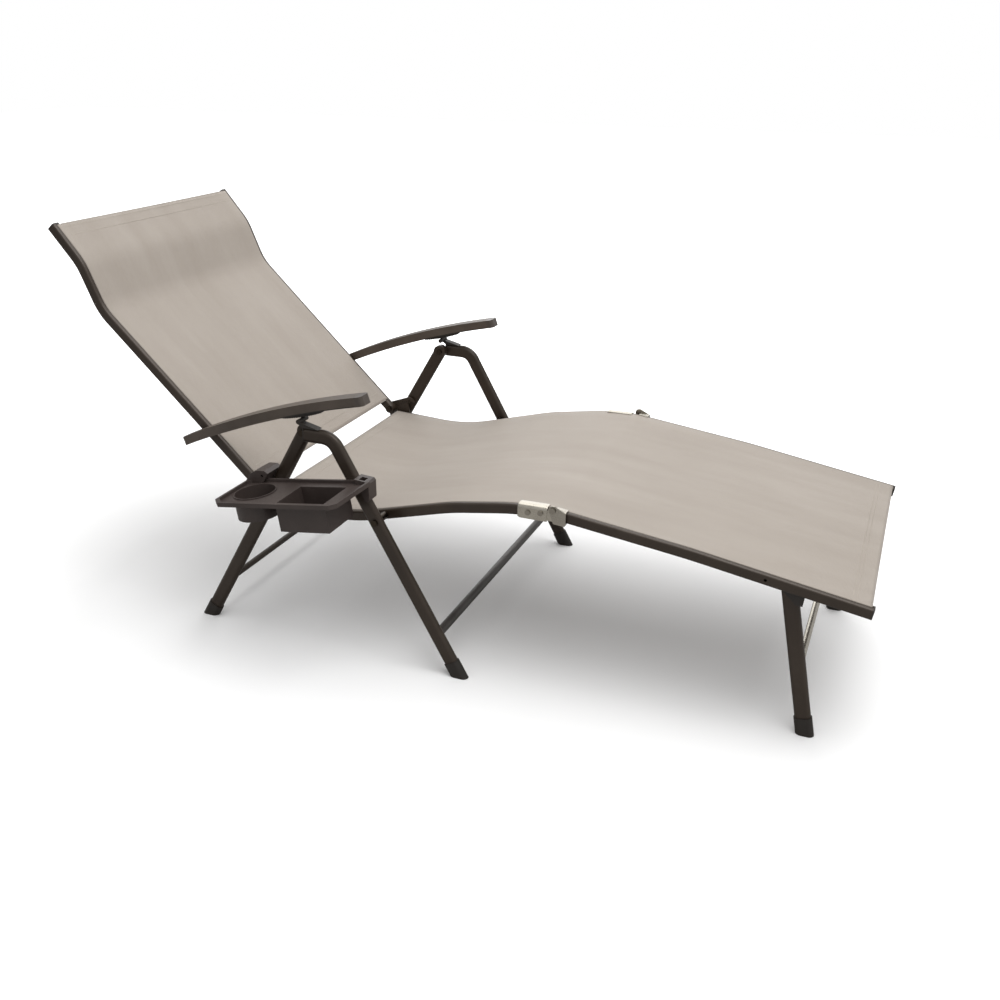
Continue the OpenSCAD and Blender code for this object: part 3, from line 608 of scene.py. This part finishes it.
def shoulder(out, top, r, inward):
    """Side face, rolled shoulder and top flange, as (outward, up) points.

    The first point only stands for the lower edge: pressed() gives its height.
    """
    turns = [math.radians(9 * k) for k in range(11)]
    arc = [(out - r + r * math.cos(a), top - r + r * math.sin(a)) for a in turns]
    return [(out, -13), (out, -4), *arc, (out - r - 3, top), (out - inward, top - 0.2)]


def pressed(name, side, xs, prof, low, material, body):
    """A pressed sheet swept along the knee: prof is its (outward, up) section, low its lower edge at x."""
    bm = bmesh.new()
    grid = []
    for x in xs:
        line = []
        for i, (y, n) in enumerate(prof):
            p = KNEE + Vector((x, low(x) if i == 0 else n + rise(x)))
            line.append(bm.verts.new(row(p.x, side * y, p.y)))
        grid.append(line)
    for a, b in zip(grid, grid[1:]):
        for j in range(len(prof) - 1):
            bm.faces.new((a[j], b[j], b[j + 1], a[j + 1]))
    bmesh.ops.recalc_face_normals(bm, faces=bm.faces)
    ob = add(f"{name}_{'right' if side < 0 else 'left'}", bm, material)
    thicken(ob, "sheet", 0.0014)
    bevel(ob, 0.0004, 2, 50)
    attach(ob, body)
    return ob


def cover_low(x):
    """The cover's lower edge, which curves up over the last 7 mm at its rear corner."""
    return -15.4 + 2.6 * max(0.0, 1 - (x - COVER_SPAN[0]) / 7) ** 2


def tongue_low(x):
    return -13 - x * 0.02


def tab_low(x):
    return TAB_LOW + rise(x)


cover_section = shoulder(COVER_OUT, COVER_TOP, 7.5, 21)
tongue_section = [(TONGUE_OUT, -13), (TONGUE_OUT, 0), (TONGUE_OUT, 8.4)]
tab_section = [(TAB_OUT, TAB_LOW)] + shoulder(TAB_OUT, COVER_TOP, 2.5, 17)[2:]
for side, plate in ((-1, "knee_plate_right"), (1, "knee_plate_left")):
    cover = pressed("knee_cover", side, spread(*COVER_SPAN), cover_section, cover_low, ZINC, "seat")
    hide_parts(plate)
    pressed("knee_tongue", side, spread(*TONGUE_SPAN), tongue_section, tongue_low, ZINC, "seat")
    pressed("knee_tab", side, spread(*TAB_SPAN), tab_section, tab_low, COLLAR, "leg_rest")

# ---------------------------------------------------------------- stage
# The camera sees a pale floor that brightens to white with distance. Light bounces off a darker one.
FLOOR_HALF = 14
FLOOR_DROP = 0.0005
BOUNCE = (0.42, 0.41, 0.40)
PALE = [(0.3, (0.92, 0.92, 0.92)), (0.7, (0.94, 0.94, 0.94))]
WHITE_FROM, WHITE_AT = 0.9, 2.6
WORLD_LIGHT, WORLD_SEEN = 0.62, 1.0

ground = Nodes("pale_floor")
tint = ground.noise(3.0, 3, 0.5, ground.coords())
seen = ground.new("ShaderNodeLightPath").outputs["Is Camera Ray"]
ground.drive("Base Color", ground.mix(seen, BOUNCE, ground.ramp(tint, PALE)))
far = ground.new("ShaderNodeVectorMath", operation="LENGTH")
ground.link(ground.coords(), far.inputs[0])
glow = ground.range(far.outputs["Value"], WHITE_FROM, WHITE_AT, 0.03, 0.9)
ground.drive("Emission Strength", ground.math("MULTIPLY", glow, seen))
ground.fix(Roughness=0.85, Specular_IOR_Level=0.1, Emission_Color=(1, 1, 1, 1))
bm = bmesh.new()
bmesh.ops.create_grid(bm, x_segments=1, y_segments=1, size=FLOOR_HALF)
floor = add("studio_floor", bm, ground.mat, False)
floor.location.z = -FLOOR_DROP

world = bpy.data.worlds.new("studio")
bpy.context.scene.world = world
world.use_nodes = True
sky = world.node_tree
background = sky.nodes["Background"]
ray = sky.nodes.new("ShaderNodeLightPath")
level = sky.nodes.new("ShaderNodeMapRange")
level.inputs[3].default_value, level.inputs[4].default_value = WORLD_LIGHT, WORLD_SEEN
sky.links.new(ray.outputs["Is Camera Ray"], level.inputs[0])
sky.links.new(level.outputs[0], background.inputs[1])
background.inputs[0].default_value = (1.0, 1.0, 1.0, 1)


def softbox(name, at, to, size, power):
    light = bpy.data.lights.new(name, "AREA")
    light.shape, light.size, light.energy = "SQUARE", size, power
    ob = bpy.data.objects.new(name, light)
    ob.location = at
    ob.rotation_euler = (Vector(to) - Vector(at)).to_track_quat("-Z", "Y").to_euler()
    ob.visible_camera = False
    bpy.context.scene.collection.objects.link(ob)


softbox("key", (1.2, -0.9, 3.3), (0.1, 0.1, 0.3), 2.4, 60)
softbox("top", (0.2, 0.9, 3.2), (0.1, 0.0, 0.4), 3.2, 58)
softbox("rim", (-0.9, 3.4, 1.7), (0.1, 0.0, 0.4), 2.4, 26)

# ---------------------------------------------------------------- camera
CAMERA_AT = (0.8595, -1.9409, 1.2155)
LENS, SENSOR = 37.62, 36.0
yaw, pitch, roll = math.radians(22.18), math.radians(23.89), math.radians(0.32)

ahead = Vector((-math.sin(yaw) * math.cos(pitch), math.cos(yaw) * math.cos(pitch), -math.sin(pitch)))
level_right = Vector((math.cos(yaw), math.sin(yaw), 0))
level_up = level_right.cross(ahead)
right = math.cos(roll) * level_right + math.sin(roll) * level_up
up = -math.sin(roll) * level_right + math.cos(roll) * level_up
cam = bpy.data.objects.new("camera", bpy.data.cameras.new("camera"))
cam.data.lens, cam.data.sensor_width = LENS, SENSOR
cam.data.clip_start, cam.data.clip_end = 0.05, 60
turned = Matrix((right, up, -ahead)).transposed()
cam.matrix_world = Matrix.Translation(CAMERA_AT) @ turned.to_4x4()
bpy.context.scene.collection.objects.link(cam)
bpy.context.scene.camera = cam
bpy.context.scene.view_settings.view_transform = "Standard"
